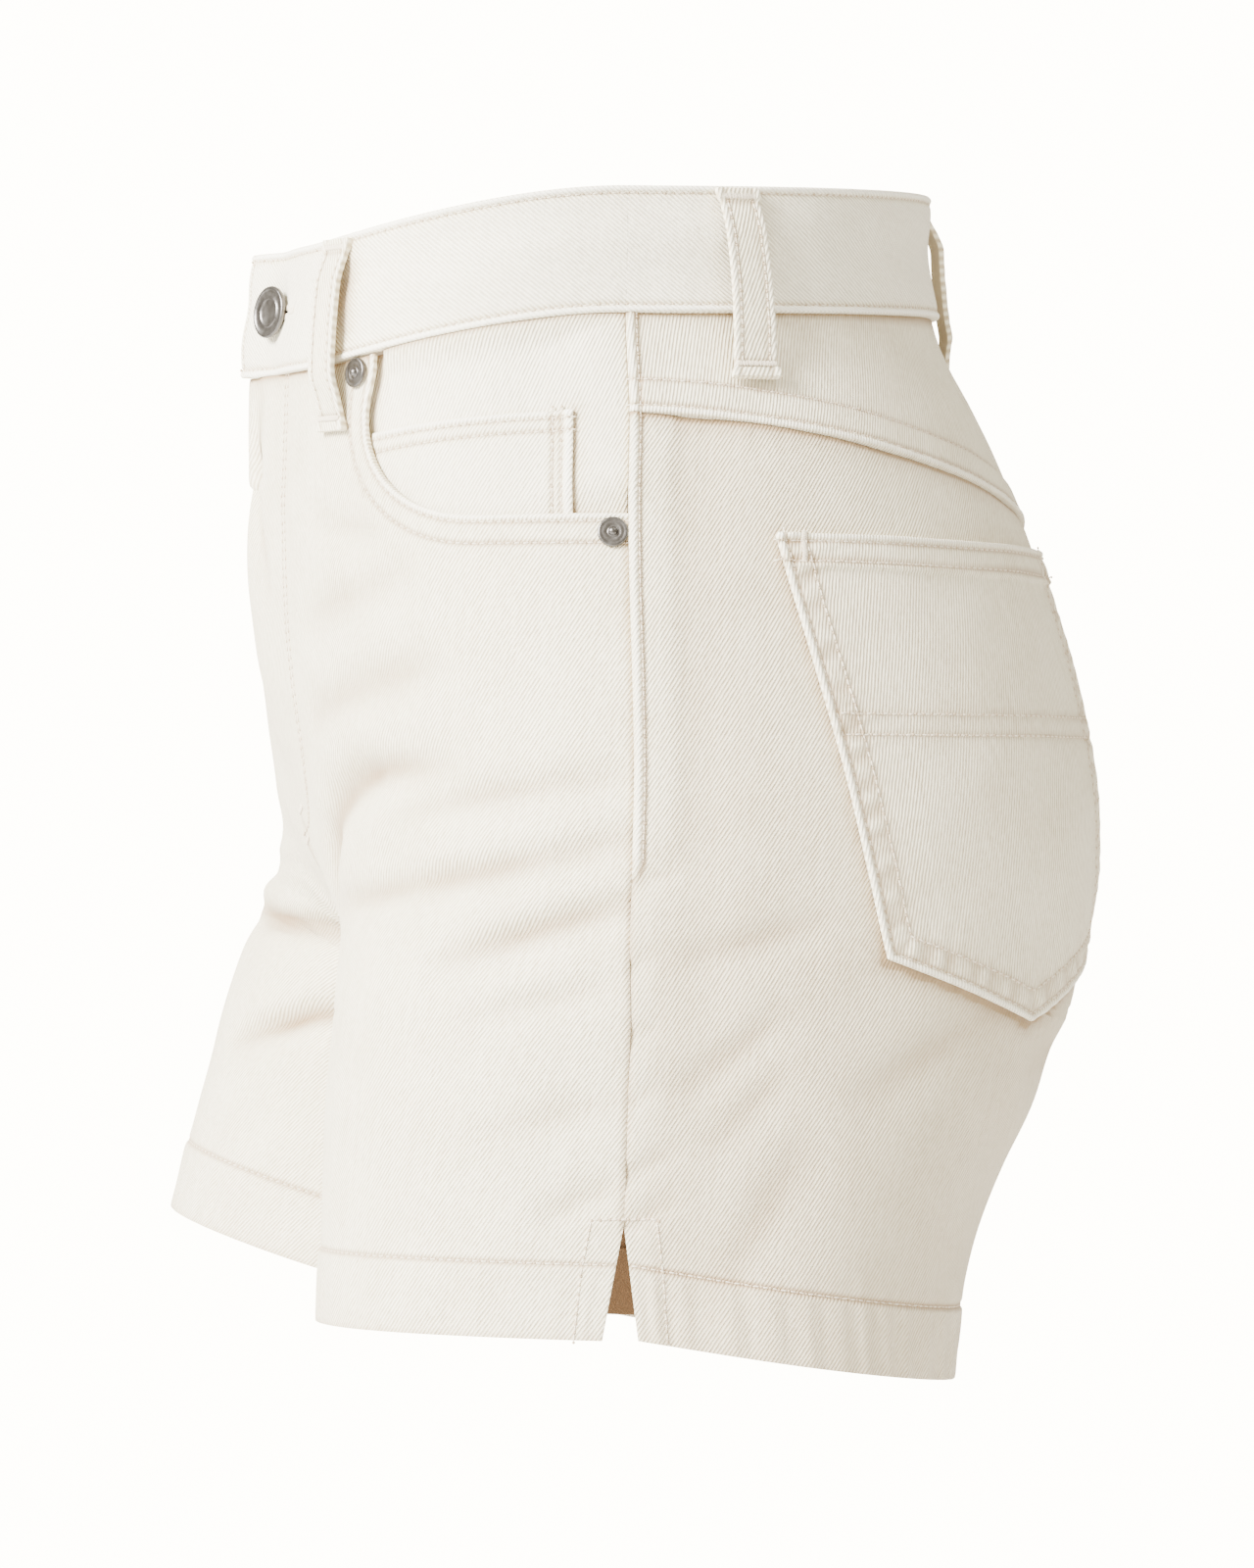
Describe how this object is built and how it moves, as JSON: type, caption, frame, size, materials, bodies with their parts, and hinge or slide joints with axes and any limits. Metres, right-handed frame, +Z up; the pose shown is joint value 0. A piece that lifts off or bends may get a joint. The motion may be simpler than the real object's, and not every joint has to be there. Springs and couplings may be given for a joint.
{
  "type": "denim shorts",
  "caption": "High-waisted five-pocket denim shorts in worn form, hollow, with fly front, curved yoke, patch back pockets and belt loops.",
  "frame": {"origin": "middle of the waist, at the level of the waistband's middle at the side seams", "axes": "+Z up out of the waist, -Y to the wearer's front, +X to the wearer's left"},
  "size_m": [0.3592, 0.2789, 0.3797],
  "materials": {
    "denim": "cream heavy cotton twill, unwashed",
    "nickel": "antique nickel"
  },
  "bodies": {
    "root": {"waistband": "denim", "yoke_left": "denim", "yoke_right": "denim", "back_left": "denim", "back_right": "denim", "front_left": "denim", "front_right": "denim", "pocket_facing_left": "denim", "pocket_facing_right": "denim", "coin_pocket": "denim", "back_pocket_left": "denim", "back_pocket_right": "denim", "belt_loop_front_left": "denim", "belt_loop_front_right": "denim", "belt_loop_side_left": "denim", "belt_loop_side_right": "denim", "belt_loop_back": "denim", "waist_button": "nickel", "rivet_upper_left": "nickel", "rivet_upper_right": "nickel", "rivet_lower_left": "nickel", "rivet_lower_right": "nickel"}
  },
  "joints": []
}
